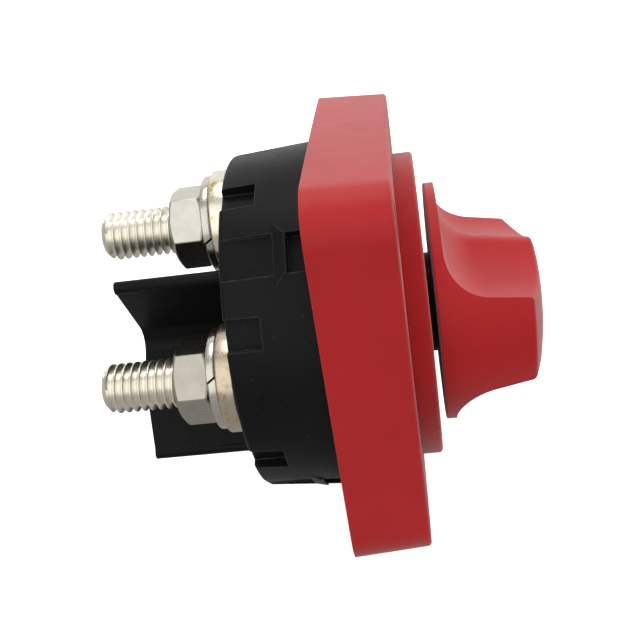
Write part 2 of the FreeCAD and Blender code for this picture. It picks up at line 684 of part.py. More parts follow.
def make_spring_washer(name, spot, facing):
    """Split ring, cut through at a slant."""
    body = new_body("spring_washer_" + name)
    revolve(body, "ring", [
        ("dims.spring_washer_bore", "-dims.nut_inner"), ("dims.spring_washer_radius", "-dims.nut_inner"),
        ("dims.spring_washer_radius", "-dims.spring_washer_inner"),
        ("dims.spring_washer_bore", "-dims.spring_washer_inner")])
    slit = sketch_on(body, "slit_outline", "XZ_Plane", "-dims.spring_washer_radius - dims.overcut")
    lean = "dims.spring_washer_lean"
    width = "dims.spring_washer_slit / 2"
    top = "-dims.spring_washer_inner + dims.overcut"
    low = "-dims.nut_inner - dims.overcut"
    outline(slit, [("-(%s) - %s" % (width, lean), low), ("%s - %s" % (width, lean), low),
                   ("%s + %s" % (width, lean), top), ("-(%s) + %s" % (width, lean), top)])
    pocket(body, "slit", slit, "dims.spring_washer_radius", up=True)
    set_in_place(body, spot)
    body.Placement = body.Placement.multiply(
        FreeCAD.Placement(FreeCAD.Vector(0, 0, 0), FreeCAD.Rotation(FreeCAD.Vector(0, 0, 1), facing)))


def group(label, build, places, turn=None):
    """A node of several equal pieces: each is built in its own body and set in its place."""
    members = []
    for number, place in enumerate(places):
        member = doc.addObject("PartDesign::Body", "%s_%d" % (label, number))
        build(member)
        member.Placement = place
        members.append(member)
    whole = doc.addObject("Part::Compound", label + "_group")
    whole.Label = label
    whole.Links = members
    parts.append(whole)
    set_in_place(whole, turn=turn)


def shifted(east, north, height="0"):
    spot = FreeCAD.Vector(amount(east), amount(north), amount(height))
    return FreeCAD.Placement(spot, FreeCAD.Rotation())


def make_stud_seals():
    """One ring round each stud, in the counterbore of the case."""
    height = "-dims.case_depth + dims.seal_section + dims.head_gap / 2"
    radius = "dims.stud_radius + dims.seal_section + dims.head_gap / 2"

    def build(body):
        add_ring(body, "ring", radius, "dims.seal_section", height)

    group("stud_seals", build, [shifted(*spot) for name, spot in SIDES])


def make_stud_tips():
    """Silver contact button on each stud's head."""
    base = "-dims.case_depth + dims.floor_thick + dims.head_thick"

    def build(body):
        sketch = sketch_on(body, "button_outline", height=base)
        circle(sketch, "dims.tip_radius")
        pad(body, "button", sketch, "dims.tip_thick")

    group("stud_tips", build, [shifted(*spot) for name, spot in SIDES])


# ------------------------------------------------------------- knob and rotor

def make_rotor():
    """Black rotor: hub through the cover, disc with detent holes, square post and spigot."""
    body = new_body("rotor")
    revolve(body, "hub_and_disc", [
        ("0", "dims.disc_back"), ("dims.disc_radius", "dims.disc_back"),
        ("dims.disc_radius", "dims.disc_front"), ("dims.hub_radius", "dims.disc_front"),
        ("dims.hub_radius", "dims.hub_groove_back"), ("dims.hub_groove_radius", "dims.hub_groove_back"),
        ("dims.hub_groove_radius", "dims.hub_groove_front"), ("dims.hub_radius", "dims.hub_groove_front"),
        ("dims.hub_radius", "dims.knob_back"), ("0", "dims.knob_back")])
    spigot = sketch_on(body, "spigot_outline", height="dims.knob_back")
    square(spigot, "dims.spigot_side")
    pad(body, "spigot", spigot, "dims.spigot_end - dims.knob_back")
    post = sketch_on(body, "post_outline", height="dims.disc_back")
    square(post, "dims.post_side")
    pad(body, "post", post, "dims.disc_back - dims.post_end", down=True)
    bore = sketch_on(body, "bore_outline", height="dims.spigot_end")
    circle(bore, "dims.screw_radius + dims.screw_gap")
    pocket(body, "bore", bore, "dims.spigot_end - dims.post_end")
    sink = sketch_on(body, "sink_outline", height="dims.post_end")
    circle(sink, "dims.knob_screw_head + 2 * dims.screw_gap")
    pocket(body, "sink", sink, "dims.knob_screw_head_thick + 3 * dims.screw_gap", up=True)
    lug = sketch_on(body, "lug_outline", height="dims.disc_front")
    sector(lug, "dims.stop_inner + 3 * dims.fit_gap", "dims.stop_outer",
           "-90 - dims.stop_half_angle", "-90 + dims.stop_half_angle")
    pad(body, "lug", lug, "dims.disc_front - dims.disc_back")
    hole = sketch_on(body, "ball_hole_outline", "YZ_Plane", "dims.disc_radius + dims.overcut")
    circle(hole, "dims.ball_hole_radius", ("0", "(dims.disc_back + dims.disc_front) / 2"))
    repeat(body, pocket(body, "ball_hole", hole, "dims.disc_radius + dims.overcut - dims.ball_hole_end"), 2)
    set_in_place(body, turn="dims.rest_turn")


def add_dome(body):
    """Keep only what lies inside a large ball, whose poles are far out to the sides."""
    ball = doc.addObject("PartDesign::Body", body.Name + "_dome")
    sphere = ball.newObject("PartDesign::AdditiveSphere", ball.Name + "_ball")
    sphere.setExpression("Radius", "dims.knob_dome")
    doc.recompute()
    centre = FreeCAD.Vector(0, 0, amount("dims.knob_apex - dims.knob_dome"))
    ball.Placement = FreeCAD.Placement(centre, FreeCAD.Rotation(FreeCAD.Vector(1, 0, 0), 90))
    common = body.newObject("PartDesign::Boolean", body.Name + "_domed")
    common.Type = "Common"
    common.addObjects([ball])
    body.Tip = common
    doc.recompute()


def make_knob():
    """Round knob: flange, grip bar with two finger scoops on each side, domed front."""
    body = new_body("knob")
    flange_top = "dims.knob_back + dims.knob_flange"
    flange = sketch_on(body, "flange_outline", height="dims.knob_back")
    circle(flange, "dims.knob_radius")
    pad(body, "flange", flange, "dims.knob_flange")
    blank = sketch_on(body, "blank_outline", height=flange_top)
    circle(blank, "dims.knob_radius")
    pad(body, "blank", blank, "dims.knob_apex - (%s)" % flange_top, taper="-dims.knob_draft")
    add_dome(body)
    past = "(dims.knob_radius + dims.overcut)"
    for name, side in (("upper", 1), ("lower", -1)):
        scoop = sketch_on(body, "scoop_outline_" + name, height=flange_top)
        points = [("-" + past, "%d * dims.grip_end" % side), ("0", "%d * dims.grip_ridge" % side),
                  (past, "%d * dims.grip_end" % side), (past, "%d * %s" % (side, past)),
                  ("-" + past, "%d * %s" % (side, past))]
        bend = "dims.grip_scoop" if side > 0 else "-dims.grip_scoop"
        outline(scoop, points, {0: bend, 1: bend})
        pocket(body, "scoop_" + name, scoop, "dims.knob_apex - dims.knob_back", up=True,
               taper="dims.grip_draft")
    base = amount(flange_top)
    soften(body, "ridge", "dims.grip_ridge_round",
           lambda edge: edge.BoundBox.ZMin < base + NEAR and edge.BoundBox.ZMax > base + NEAR
           and abs(edge.BoundBox.Center.x) < NEAR)
    rim = amount("dims.knob_radius")
    soften(body, "root", "dims.grip_fillet", lambda edge: level(edge, base) and not is_round(edge, rim))
    drop = amount("dims.knob_dome - sqrt(dims.knob_dome ^ 2 - dims.knob_radius ^ 2)")
    front = amount("dims.knob_apex") - drop - NEAR
    soften(body, "front_edge", "dims.knob_edge_round", lambda edge: edge.BoundBox.ZMin > front)
    back = amount("dims.knob_back")
    soften(body, "rim", "dims.knob_rim_round", lambda edge: level(edge, back))
    socket = sketch_on(body, "socket_outline", height="dims.knob_back")
    square(socket, "dims.spigot_side + 2 * dims.fit_gap")
    pocket(body, "socket", socket, "dims.socket_depth", up=True)
    hole = sketch_on(body, "screw_hole_outline", height="dims.knob_back")
    circle(hole, "dims.screw_radius + dims.thread_fit")
    pocket(body, "screw_hole", hole, "dims.knob_screw_tip - dims.knob_back + dims.overcut", up=True)
    set_in_place(body, turn="dims.rest_turn")


def make_knob_screw():
    """Pan head screw that holds the knob on the rotor from behind."""
    body = new_body("knob_screw")
    seat = "dims.post_end + dims.knob_screw_head_thick + 2 * dims.screw_gap"
    back = "dims.post_end + 2 * dims.screw_gap"
    tip = "dims.knob_screw_tip"
    revolve(body, "screw", [
        ("0", back), ("dims.knob_screw_head - dims.screw_bevel", back),
        ("dims.knob_screw_head", back + " + dims.screw_bevel"), ("dims.knob_screw_head", seat),
        ("dims.screw_radius", seat), ("dims.screw_radius", tip + " - dims.screw_bevel"),
        ("dims.screw_radius - dims.screw_bevel", tip), ("0", tip)])
    set_in_place(body, turn="dims.rest_turn")


def make_shaft_seal():
    section = "(dims.hub_radius - dims.hub_groove_radius) / 2"
    height = "(dims.hub_groove_back + dims.hub_groove_front) / 2"
    ring("shaft_seal", "dims.hub_radius - %s" % section, section + " - dims.seal_play", height, ON_AXIS,
         "dims.rest_turn")


def make_turned_washer(label, bore, radius, low, high):
    """Flat ring that turns with the rotor."""
    body = new_body(label)
    revolve(body, "washer", [(bore, low), (radius, low), (radius, high), (bore, high)])
    set_in_place(body, turn="dims.rest_turn")


def make_bridge():
    """Bent copper plate with one arm for each stud, drawn at off."""
    body = new_body("contact_bridge")
    hub = sketch_on(body, "hub_outline", height="dims.bridge_bottom")
    circle(hub, "dims.bridge_hub")
    pad(body, "hub", hub, "dims.bridge_thick")
    for name in ("upper", "lower"):
        angle = "(dims.%s_angle + dims.travel)" % name
        reach = "dims.%s_arm" % name
        bar = sketch_on(body, "bar_outline_" + name, height="dims.bridge_bottom")
        end = turned(reach, angle)
        corners = [step(spot, "dims.arm_half_width", "%s + %d" % (angle, side))
                   for spot, side in ((ON_AXIS, -90), (end, -90), (end, 90), (ON_AXIS, 90))]
        outline(bar, corners)
        pad(body, "bar_" + name, bar, "dims.bridge_thick")
        rounding = sketch_on(body, "end_outline_" + name, height="dims.bridge_bottom")
        circle(rounding, "dims.arm_half_width", end)
        pad(body, "end_" + name, rounding, "dims.bridge_thick")
    hole = sketch_on(body, "hole_outline", height="dims.bridge_bottom")
    square(hole, "dims.post_side + 2 * dims.fit_gap")
    pocket(body, "hole", hole, "dims.bridge_thick", up=True)
    set_in_place(body, turn="dims.rest_turn")


def make_bridge_tips():
    """Silver contact button under each arm of the bridge."""
    def build(body):
        sketch = sketch_on(body, "button_outline", height="dims.bridge_bottom")
        circle(sketch, "dims.tip_radius")
        pad(body, "button", sketch, "dims.bridge_bottom - (%s)" % closed, down=True)

    closed = "-dims.case_depth + dims.floor_thick + dims.head_thick + dims.tip_thick + dims.contact_gap"
    places = [shifted(*turned("dims.%s_arm" % name, "dims.%s_angle + dims.travel" % name))
              for name in ("upper", "lower")]
    group("bridge_tips", build, places, "dims.rest_turn")


def make_bridge_clip():
    """Push-on clip with a square hole, at the end of the post."""
    body = new_body("bridge_clip")
    top = "dims.bridge_bottom - dims.fit_gap"
    plate = sketch_on(body, "plate_outline", height=top)
    circle(plate, "dims.clip_radius")
    pad(body, "plate", plate, "dims.clip_thick", down=True)
    hole = sketch_on(body, "hole_outline", height=top)
    square(hole, "dims.post_side + dims.fit_gap")
    pocket(body, "hole", hole, "dims.clip_thick")
    set_in_place(body, turn="dims.rest_turn")


def add_coil(body, radius, wire, pitch, base, height):
    """Round wire wound about the body's own Z axis."""
    wire_section = sketch_on(body, "wire", "XZ_Plane")
    circle(wire_section, wire, (radius, base))
    coil = feature(body, "AdditiveHelix", "coil", wire_section)
    coil.ReferenceAxis = (wire_section, ["V_Axis"])
    coil.Mode = "pitch-height-angle"
    coil.setExpression("Pitch", pitch)
    coil.setExpression("Height", height)
    return check_change(body, coil, 1)


def make_bridge_spring():
    """Compression spring round the post, between the bridge and its seat."""
    body = new_body("bridge_spring")
    base = "dims.bridge_bottom + dims.bridge_thick + dims.bridge_wire + dims.fit_gap"
    room = "dims.disc_back - dims.seat_thick - dims.bridge_bottom - dims.bridge_thick"
    add_coil(body, "dims.bridge_spring_radius", "dims.bridge_wire", "dims.bridge_spring_pitch", base,
             "%s - 2 * (dims.bridge_wire + dims.fit_gap)" % room)
    set_in_place(body, turn="dims.rest_turn")


def detent_place(angle, reach):
    """Where a detent piece lies: on a radius of the disc, half way through its thickness."""
    turn = FreeCAD.Rotation(FreeCAD.Vector(0, 0, 1), angle)
    out = turn.multVec(FreeCAD.Vector(amount(reach), 0, 0))
    height = FreeCAD.Vector(0, 0, amount("(dims.disc_back + dims.disc_front) / 2"))
    lie_down = FreeCAD.Rotation(FreeCAD.Vector(0, 1, 0), 90)
    return FreeCAD.Placement(out + height, turn.multiply(lie_down))


def make_detent_balls():
    """Two steel balls, drawn pressed in as far as they are between two clicks."""
    def build(body):
        ball = body.newObject("PartDesign::AdditiveSphere", body.Name + "_ball")
        ball.setExpression("Radius", "dims.ball_radius")
        check_change(body, ball, 1)

    places = [detent_place(angle, "dims.ball_place") for angle in (0, 180)]
    group("detent_balls", build, places, "dims.rest_turn")


def make_detent_springs():
    """The springs behind the balls."""
    room = "dims.ball_place - dims.ball_radius - dims.ball_hole_end"

    def build(body):
        add_coil(body, "dims.detent_spring_radius", "dims.detent_wire", "4 * dims.detent_wire",
                 "2 * dims.detent_wire", room + " - 4 * dims.detent_wire")

    group("detent_springs", build, [detent_place(angle, "dims.ball_hole_end") for angle in (0, 180)],
          "dims.rest_turn")


# ------------------------------------------------------------------------- build

def write_out():
    """Check every object and every sub-part, then write one STEP file for each sub-part."""
    doc.recompute()
    failed = [item.Name for item in doc.Objects if "Invalid" in item.State or "Error" in item.State]
    for part in parts:
        shape = part.Shape
        if shape.isNull() or not shape.isValid() or not shape.Solids:
            failed.append(part.Label)
    if failed:
        raise RuntimeError("failed: " + ", ".join(failed))
    os.makedirs("parts", exist_ok=True)
    for part in parts:
        part.Shape.exportStep("parts/%s.step" % part.Label)
        print("%-24s %d solid(s) %9.1f mm3" % (part.Label, len(part.Shape.Solids), part.Shape.Volume))


make_surround()
make_front_cover()
make_rear_case()
make_case_seal()
for name, spot in SIDES:
    make_stud(name, spot)
    make_nut(name, spot, "dims.nut_turn_" + name)
    make_spring_washer(name, spot, amount("dims.slit_facing_" + name))
    make_washer("flat_washer_" + name, spot, "dims.flat_washer_radius", "dims.flat_washer_bore",
                "dims.spring_washer_inner", "dims.flat_washer_inner", "dims.washer_bevel")
    make_washer("contact_washer_" + name, spot, "dims.contact_washer_radius", "dims.flat_washer_bore",
                "dims.flat_washer_inner", "dims.case_depth", "dims.washer_bevel")
make_stud_seals()
make_stud_tips()
make_rotor()
make_knob()
make_knob_screw()
make_shaft_seal()
make_turned_washer("thrust_washer", "dims.hub_radius + dims.fit_gap", "dims.boss_radius - 2 * dims.fit_gap",
                   "dims.disc_front", "dims.boss_end - 3 * dims.fit_gap")
make_turned_washer("spring_seat", "dims.post_side / 2 * sqrt(2) + dims.fit_gap", "dims.seat_radius",
                   "dims.disc_back - dims.seat_thick", "dims.disc_back")
make_bridge()
make_bridge_tips()
make_bridge_clip()
make_bridge_spring()
make_detent_balls()
make_detent_springs()
write_out()
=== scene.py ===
import json
import math

import bmesh
import bpy
from mathutils import Matrix, Vector


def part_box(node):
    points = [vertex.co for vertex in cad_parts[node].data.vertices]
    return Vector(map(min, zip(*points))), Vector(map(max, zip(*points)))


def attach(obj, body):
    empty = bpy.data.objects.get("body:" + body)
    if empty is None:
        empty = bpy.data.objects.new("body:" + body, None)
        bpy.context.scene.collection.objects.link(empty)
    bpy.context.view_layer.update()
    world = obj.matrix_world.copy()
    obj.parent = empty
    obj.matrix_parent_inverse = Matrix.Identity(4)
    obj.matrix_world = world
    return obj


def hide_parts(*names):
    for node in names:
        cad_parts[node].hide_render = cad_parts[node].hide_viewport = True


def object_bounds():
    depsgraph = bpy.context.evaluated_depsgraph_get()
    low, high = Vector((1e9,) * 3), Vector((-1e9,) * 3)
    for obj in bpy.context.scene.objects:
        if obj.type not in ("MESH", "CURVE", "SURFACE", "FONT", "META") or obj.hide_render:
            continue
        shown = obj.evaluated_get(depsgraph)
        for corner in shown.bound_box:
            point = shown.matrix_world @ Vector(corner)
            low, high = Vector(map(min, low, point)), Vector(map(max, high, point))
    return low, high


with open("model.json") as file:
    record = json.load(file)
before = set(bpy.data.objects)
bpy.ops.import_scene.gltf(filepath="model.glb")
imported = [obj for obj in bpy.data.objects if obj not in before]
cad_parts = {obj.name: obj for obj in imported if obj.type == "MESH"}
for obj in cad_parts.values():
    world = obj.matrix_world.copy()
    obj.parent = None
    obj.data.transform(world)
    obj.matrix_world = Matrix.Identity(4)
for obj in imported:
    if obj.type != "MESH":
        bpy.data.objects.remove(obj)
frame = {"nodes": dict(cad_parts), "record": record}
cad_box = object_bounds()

MM = 0.001
INCH = 0.0254
FULL_TURN = 2 * math.pi
BODY = "switch_body"
SIDES = ("upper", "lower")


# ------------------------------------------------------------------ node helpers

# Bevel gives a normal rolled over an edge. Its agreement with the true normal is 1 on an open
# face and falls towards the edge.
EDGE_AGREEMENT = 0.84
FACE_AGREEMENT = 0.99
BEVEL_SAMPLES = 6
# Size and faintest strength of the noise that breaks up the painted highlight along edges.
HIGHLIGHT_PATCH_SIZE = 1.2 * MM
HIGHLIGHT_PATCH_FAINTEST = 0.35


class Nodes:
    """A material under construction: its tree, its shader and short ways to add nodes."""

    def __init__(self, name):
        self.material = bpy.data.materials.new(name)
        self.material.use_nodes = True
        self.tree = self.material.node_tree
        self.shader = self.tree.nodes["Principled BSDF"]
        self.place = self.add("ShaderNodeTexCoord").outputs["Object"]

    def add(self, kind, **values):
        """A new node; each value is a property of the node, or else the value of an input."""
        node = self.tree.nodes.new(kind)
        for key, value in values.items():
            if hasattr(node, key):
                setattr(node, key, value)
            else:
                node.inputs[key].default_value = value
        return node

    def link(self, source, target):
        self.tree.links.new(source, target)

    def stretched(self, scale):
        """Coordinates scaled by different amounts along X, Y and Z."""
        mapping = self.add("ShaderNodeMapping")
        mapping.inputs["Scale"].default_value = scale
        self.link(self.place, mapping.inputs["Vector"])
        return mapping.outputs["Vector"]

    def noise(self, size, detail=2.0, rough=0.5):
        """Noise whose features are about this many metres across."""
        made = self.add("ShaderNodeTexNoise", Scale=1.0 / size, Detail=detail, Roughness=rough)
        self.link(self.place, made.inputs["Vector"])
        return made.outputs["Fac"]

    def spread(self, source, low, high, start=0.3, end=0.7):
        """A value that goes from start to end becomes one that goes from low to high."""
        made = self.add("ShaderNodeMapRange")
        self.link(source, made.inputs["Value"])
        limits = {"From Min": start, "From Max": end, "To Min": low, "To Max": high}
        for name, value in limits.items():
            made.inputs[name].default_value = value
        return made.outputs["Result"]

    def blend(self, source, stops):
        """Colour from a value, by a ramp of (position, colour)."""
        ramp = self.add("ShaderNodeValToRGB")
        while len(ramp.color_ramp.elements) < len(stops):
            ramp.color_ramp.elements.new(0.5)
        for element, (position, colour) in zip(ramp.color_ramp.elements, stops):
            element.position = position
            element.color = (*colour, 1.0)
        self.link(source, ramp.inputs["Fac"])
        return ramp.outputs["Color"]

    def cloudy(self, source, colour, spread):
        """A colour that a noise makes darker and lighter by a part of itself."""
        return self.blend(source, ((0.3, shade(colour, 1 - spread)), (0.7, shade(colour, 1 + spread))))

    def bump(self, height, depth, strength, under=None):
        """Normal for a height map, laid over another normal if there is one."""
        made = self.add("ShaderNodeBump", Strength=strength, Distance=depth)
        self.link(height, made.inputs["Height"])
        if under:
            self.link(under, made.inputs["Normal"])
        return made.outputs["Normal"]

    def soft_edges(self, radius):
        """Normals that roll over the edges, as a moulded edge does."""
        made = self.add("ShaderNodeBevel", samples=BEVEL_SAMPLES)
        made.inputs["Radius"].default_value = radius
        return made.outputs["Normal"]

    def painted_edge_highlight(self, radius):
        """Mask for a painted highlight: about 1 along edges and 0 on open faces, broken up by noise."""
        rolled = self.soft_edges(radius)
        flat = self.add("ShaderNodeNewGeometry").outputs["Normal"]
        match = self.add("ShaderNodeVectorMath", operation="DOT_PRODUCT")
        self.link(rolled, match.inputs[0])
        self.link(flat, match.inputs[1])
        edge = self.spread(match.outputs["Value"], 1.0, 0.0, EDGE_AGREEMENT, FACE_AGREEMENT)
        patchy = self.spread(self.noise(HIGHLIGHT_PATCH_SIZE, 3.0), HIGHLIGHT_PATCH_FAINTEST, 1.0)
        both = self.add("ShaderNodeMath", operation="MULTIPLY")
        self.link(edge, both.inputs[0])
        self.link(patchy, both.inputs[1])
        return both.outputs["Value"]

    def overlay(self, factor, under, colour):
        """A colour laid over another where the factor says."""
        mixed = self.add("ShaderNodeMix", data_type="RGBA")
        self.link(factor, mixed.inputs["Factor"])
        self.link(under, mixed.inputs["A"])
        mixed.inputs["B"].default_value = (*colour, 1.0)
        return mixed.outputs["Result"]

    def finish(self, colour, rough, normal=None, **fixed):
        """Link the shader's inputs, set the fixed ones and give back the material."""
        self.link(colour, self.shader.inputs["Base Color"])
        self.link(rough, self.shader.inputs["Roughness"])
        if normal:
            self.link(normal, self.shader.inputs["Normal"])
        for key, value in fixed.items():
            self.shader.inputs[key.replace("_", " ")].default_value = value
        return self.material


def shade(colour, factor):
    """A colour made darker or lighter."""
    return tuple(part * factor for part in colour)


# --------------------------------------------------------------------- materials

SOFT_EDGE_RADIUS = 0.25 * MM
# Reach of the painted highlight along the edges.
EDGE_HIGHLIGHT_RADIUS = 0.35 * MM
CLOUD_SIZE = 14 * MM
SPECK_SIZE = 0.45 * MM
SPECK_START = 0.74
SPECK_FULL = 0.80
SPECK_STRENGTH = 0.5
GLOSS_PATCH = 5 * MM
WAVE_SIZE = 9 * MM
WAVE_DEPTH = 0.12 * MM
SHEEN_ROUGH = 0.45
METAL_STAIN = 3 * MM
METAL_SCRATCH = 0.02 * MM
METAL_SPREAD = 0.08
PLATING_PATCH = 2.6 * MM
PLATING_GRAIN = 0.35 * MM


def plastic(name, colour, rough, grain, depth, spread=0.06, specular=0.4, sheen=0.0, edge=None):
    """Moulded plastic: faint clouding, eroded grain, slight waviness, pale specks and a painted
    highlight along the edges.
    """
    nodes = Nodes(name)
    tint = nodes.cloudy(nodes.noise(CLOUD_SIZE, 3.0), colour, spread)
    if edge:
        specks = nodes.spread(nodes.noise(SPECK_SIZE, 1.0), 0.0, SPECK_STRENGTH, SPECK_START, SPECK_FULL)
        tint = nodes.overlay(specks, tint, edge)
        # The edges are lightened with the edge tint: a painted highlight.
        tint = nodes.overlay(nodes.painted_edge_highlight(EDGE_HIGHLIGHT_RADIUS), tint, edge)
    patches = nodes.noise(GLOSS_PATCH, 4.0, 0.6)
    gloss = nodes.spread(patches, rough - 0.05, rough + 0.06)
    fine = nodes.noise(grain, 3.0, 0.6)
    coarse = nodes.noise(WAVE_SIZE, 1.0)
    waves = nodes.bump(coarse, WAVE_DEPTH, 0.35, nodes.soft_edges(SOFT_EDGE_RADIUS))
    normal = nodes.bump(fine, depth, 0.6, waves)
    return nodes.finish(tint, gloss, normal, Specular_IOR_Level=specular, Sheen_Weight=sheen,
                        Sheen_Roughness=SHEEN_ROUGH)


def metal(name, colour, rough, grain_size):
    """Metal with a directional finish: the grain has its own size along each axis."""
    nodes = Nodes(name)
    grain_place = nodes.stretched(tuple(1.0 / (size * MM) for size in grain_size))
    grain = nodes.add("ShaderNodeTexNoise", Scale=1.0, Detail=4.0, Roughness=0.65)
    nodes.link(grain_place, grain.inputs["Vector"])
    tint = nodes.cloudy(nodes.noise(METAL_STAIN, 4.0, 0.6), colour, METAL_SPREAD)
    gloss = nodes.spread(grain.outputs["Fac"], rough - 0.07, rough + 0.1)
    normal = nodes.bump(grain.outputs["Fac"], METAL_SCRATCH, 0.35)
    return nodes.finish(tint, gloss, normal, Metallic=1.0)


def stained_metal(name, stops, rough):
    """Plated metal whose tint changes in patches."""
    nodes = Nodes(name)
    patches = nodes.noise(PLATING_PATCH, 3.0, 0.55)
    tint = nodes.blend(patches, stops)
    fine = nodes.noise(PLATING_GRAIN, 3.0, 0.6)
    gloss = nodes.spread(fine, rough - 0.08, rough + 0.12)
    normal = nodes.bump(fine, METAL_SCRATCH, 0.3)
    return nodes.finish(tint, gloss, normal, Metallic=1.0)


RED = (0.50, 0.011, 0.013)
BLACK = (0.0050, 0.0055, 0.0066)
ACETAL = (0.7, 0.69, 0.65)
STUD_PLATING = (0.94, 0.90, 0.79)
STEEL = (0.80, 0.766, 0.69)
# Darker copy of the steel for the lower nut: painted shade.
SHADED_STEEL = (0.60, 0.56, 0.48)
SILVER = (0.8, 0.79, 0.76)
GOLD_STOPS = (
    (0.30, (0.58, 0.40, 0.22)),
    (0.40, (0.84, 0.72, 0.50)),
    (0.52, (0.90, 0.85, 0.72)),
    (0.72, (0.76, 0.72, 0.65)),
)
# Darker copy of the gold plating for the lower flat washer: painted shade.
SHADED_GOLD_STOPS = (
    (0.30, (0.45, 0.32, 0.19)),
    (0.45, (0.64, 0.54, 0.39)),
    (0.70, (0.66, 0.60, 0.50)),
)
TIN_STOPS = ((0.35, (0.62, 0.58, 0.50)), (0.65, (0.80, 0.76, 0.68)))
COPPER_STOPS = ((0.35, (0.55, 0.25, 0.13)), (0.65, (0.75, 0.40, 0.25)))

# How each plastic takes the light, and the tint of its pale specks and of the painted highlight along
# its edges.
MOULDED_RED = {"specular": 0.3, "sheen": 0.30, "edge": (0.60, 0.05, 0.05)}
KNOB_RED = {"specular": 0.22, "sheen": 0.34, "edge": (0.62, 0.06, 0.06)}
GRAINED_RED = {"specular": 0.15, "sheen": 0.55, "edge": (0.60, 0.07, 0.07)}
MOULDED_BLACK = {"specular": 0.13, "spread": 0.2, "sheen": 0.02, "edge": (0.085, 0.086, 0.092)}

# Size of the metals' grain along X, Y and Z, in mm.
STUD_GRAIN = (0.4, 0.1, 0.4)
NUT_GRAIN = (0.12, 2.5, 0.12)
SPRING_GRAIN = (0.5, 0.12, 0.5)
EVEN_GRAIN = (0.3, 0.3, 0.3)

# The lower terminal's nut and flat washer take darker copies of the upper one's materials: painted
# shade.
NUT_SHADING = {"upper": "nut_steel", "lower": "shaded_nut"}
WASHER_SHADING = {"upper": "gold_washer", "lower": "shaded_gold"}

# Nodes that share a slot's material with others but have a finish of their own; the cover's red is also
# made darker, as painted shade.
OWN_FINISH_AND_SHADE = {"front_cover": "red_cover", "knob": "red_knob"}


def make_materials():
    """All materials: the slots' names, the finishes that differ from their slot, and darker copies that
    paint shade on the lower terminal.
    """
    return {
        "red_plastic": plastic("red_moulded", RED, rough=0.50, grain=0.25 * MM, depth=0.006 * MM,
                               **MOULDED_RED),
        # The cover ring's grain is its own, but its red is made darker as painted shade for the ring
        # between surround and knob.
        "red_cover": plastic("red_grained", shade(RED, 0.88), rough=0.52, grain=0.3 * MM,
                             depth=0.24 * MM, **GRAINED_RED),
        "red_knob": plastic("red_knob", RED, rough=0.50, grain=0.3 * MM, depth=0.012 * MM, **KNOB_RED),
        "black_plastic": plastic("black_moulded", BLACK, rough=0.40, grain=0.22 * MM, depth=0.008 * MM,
                                 **MOULDED_BLACK),
        "black_nylon": plastic("black_nylon", shade(BLACK, 0.8), rough=0.4, grain=0.3 * MM,
                               depth=0.004 * MM, **MOULDED_BLACK),
        "seal_rubber": plastic("seal_rubber", BLACK, rough=0.7, grain=0.15 * MM, depth=0.01 * MM,
                               **MOULDED_BLACK),
        "stud_metal": metal("stud_plating", STUD_PLATING, rough=0.32, grain_size=STUD_GRAIN),
        "nut_steel": metal("nut_steel", shade(STEEL, 0.78), rough=0.20, grain_size=NUT_GRAIN),
        # Darker copy for the lower nut: painted shade.
        "shaded_nut": metal("shaded_nut_steel", shade(SHADED_STEEL, 0.80), rough=0.24, grain_size=NUT_GRAIN),
        "spring_steel": metal("spring_steel", shade(STEEL, 0.80), rough=0.22, grain_size=SPRING_GRAIN),
        "gold_washer": stained_metal("gold_plating", GOLD_STOPS, rough=0.24),
        # Darker copy for the lower flat washer: painted shade.
        "shaded_gold": stained_metal("shaded_gold_plating", SHADED_GOLD_STOPS, rough=0.27),
        "tinned_washer": stained_metal("tin_plating", TIN_STOPS, rough=0.33),
        "contact_copper": stained_metal("bare_copper", COPPER_STOPS, rough=0.3),
        "contact_silver": metal("silver_alloy", SILVER, rough=0.3, grain_size=EVEN_GRAIN),
        "white_acetal": plastic("white_acetal", ACETAL, rough=0.4, grain=0.3 * MM, depth=0.004 * MM,
                                spread=0.03),
    }


def dress_frame(materials):
    """Every CAD node takes the material of its slot, or the finish of its own."""
    slots = {part["node"]: part["material_slot"] for part in frame["record"]["subparts"]}
    for name, item in frame["nodes"].items():
        material = materials[OWN_FINISH_AND_SHADE.get(name, slots[name])]
        if not item.material_slots:
            item.data.materials.append(material)
        for slot in item.material_slots:
            slot.material = material


# ------------------------------------------------------------------ mesh helpers

SAME_POINT = 0.002 * MM
NO_LENGTH = 0.0005 * MM


def new_piece(name, points, faces, material, node, smooth_angle=35):
    """A mesh piece that stands for a CAD node and moves with the body that holds it."""
    mesh = bpy.data.meshes.new(name)
    mesh.from_pydata(points, [], faces)
    mesh.materials.append(material)
    cleaned = bmesh.new()
    cleaned.from_mesh(mesh)
    bmesh.ops.remove_doubles(cleaned, verts=cleaned.verts, dist=SAME_POINT)
    bmesh.ops.dissolve_degenerate(cleaned, edges=cleaned.edges, dist=NO_LENGTH)
    bmesh.ops.recalc_face_normals(cleaned, faces=cleaned.faces)
    cleaned.to_mesh(mesh)
    cleaned.free()
    piece = bpy.data.objects.new(name, mesh)
    bpy.context.collection.objects.link(piece)
    for face in mesh.polygons:
        face.use_smooth = True
    mesh.set_sharp_from_angle(angle=math.radians(smooth_angle))
    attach(piece, BODY)
    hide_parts(node)
    return piece


def join_rings(rings, close_ends=True):
    """Points and faces of a skin over rings that have the same number of points each."""
    points = [point for ring in rings for point in ring]
    count = len(rings[0])
    faces = []
    for row in range(len(rings) - 1):
        for place in range(count):
            after = (place + 1) % count
            faces.append((row * count + place, row * count + after,
                          (row + 1) * count + after, (row + 1) * count + place))
    if close_ends:
        faces.append(tuple(range(count)))
        faces.append(tuple(range((len(rings) - 1) * count, len(rings) * count)))
    return points, faces


